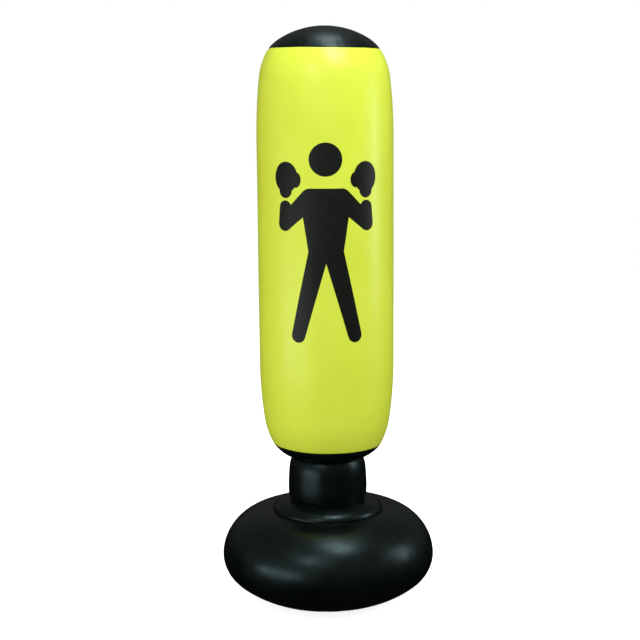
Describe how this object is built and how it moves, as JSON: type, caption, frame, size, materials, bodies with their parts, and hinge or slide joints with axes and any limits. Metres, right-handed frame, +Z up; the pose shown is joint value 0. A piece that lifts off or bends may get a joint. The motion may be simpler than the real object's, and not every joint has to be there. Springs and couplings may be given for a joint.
{
  "type": "free standing bag",
  "caption": "Tall inflatable punching bag with rounded shoulders on a flexible neck, standing on a round water-weighted base.",
  "frame": {"origin": "middle of the flat foot, on the floor", "axes": "+Z up along the bag, -Y is the printed front, valves are on the +Y back"},
  "size_m": [0.595, 0.595, 1.596],
  "materials": {
    "bag_film": "satin PVC film, lime yellow",
    "black_film": "glossy black PVC film",
    "clear_valve": "translucent moulded PVC",
    "black_valve": "moulded black plastic",
    "gasket_rubber": "matte rubber",
    "water": "clear water",
    "print_ink": "screen-printed black ink"
  },
  "bodies": {
    "base": {"base_top_panel": "black_film", "base_floor_panel": "black_film", "base_rim_weld": "black_film", "base_diaphragm": "black_film", "base_crease_weld": "black_film", "collar_panel": "black_film", "neck_lower_weld": "black_film", "ballast_water": "water", "filler_flange": "black_valve", "filler_neck": "black_valve", "filler_anchor_button": "black_valve"},
    "neck": {"neck_sleeve": "black_film"},
    "bag": {"bag_sleeve": "bag_film", "bag_back_seam": "bag_film", "bag_top_panel": "black_film", "bag_top_weld": "black_film", "bag_bottom_panel": "black_film", "bag_bottom_weld": "black_film", "neck_upper_weld": "black_film", "air_valve_flange": "clear_valve"},
    "air_stem": {"air_valve_stem": "clear_valve", "air_valve_check_flap": "clear_valve"},
    "air_plug": {"air_valve_plug": "clear_valve", "air_valve_strap": "clear_valve"},
    "filler_carrier": {"filler_tether_ring": "black_valve", "filler_tether_strap": "black_valve"},
    "filler_lid": {"filler_cap": "black_valve", "filler_gasket": "gasket_rubber"}
  },
  "joints": [
    {"name": "lean_fore_aft", "type": "hinge", "parent": "base", "child": "neck", "pos_m": [0, 0, 0.315], "axis": [1, 0, 0], "range_deg": [-25, 25], "stiffness_Nm_per_rad": 40, "deforming": ["neck_sleeve"]},
    {"name": "lean_sideways", "type": "hinge", "parent": "neck", "child": "bag", "pos_m": [0, 0, 0.385], "axis": [0, 1, 0], "range_deg": [-25, 25], "stiffness_Nm_per_rad": 40},
    {"name": "air_stem_slide", "type": "slide", "parent": "bag", "child": "air_stem", "axis": [0, 1, 0], "range_m": [0, 0.012]},
    {"name": "air_plug_flip", "type": "hinge", "parent": "air_stem", "child": "air_plug", "pos_m": [0, 0.1897, 0.7085], "axis": [-1, 0, 0], "range_deg": [0, 150]},
    {"name": "filler_lift", "type": "slide", "parent": "base", "child": "filler_carrier", "axis": [0, 0.5, 0.866], "range_m": [0, 0.006], "deforming": ["filler_tether_strap"]},
    {"name": "filler_turn", "type": "hinge", "parent": "filler_carrier", "child": "filler_lid", "pos_m": [0, 0.22864, 0.24447], "axis": [0, 0.5, 0.866], "range_deg": [0, 720]}
  ],
  "couplings": [
    {"joint": "filler_lift", "follows": "filler_turn", "m_per_rad": 0.00047746}
  ]
}
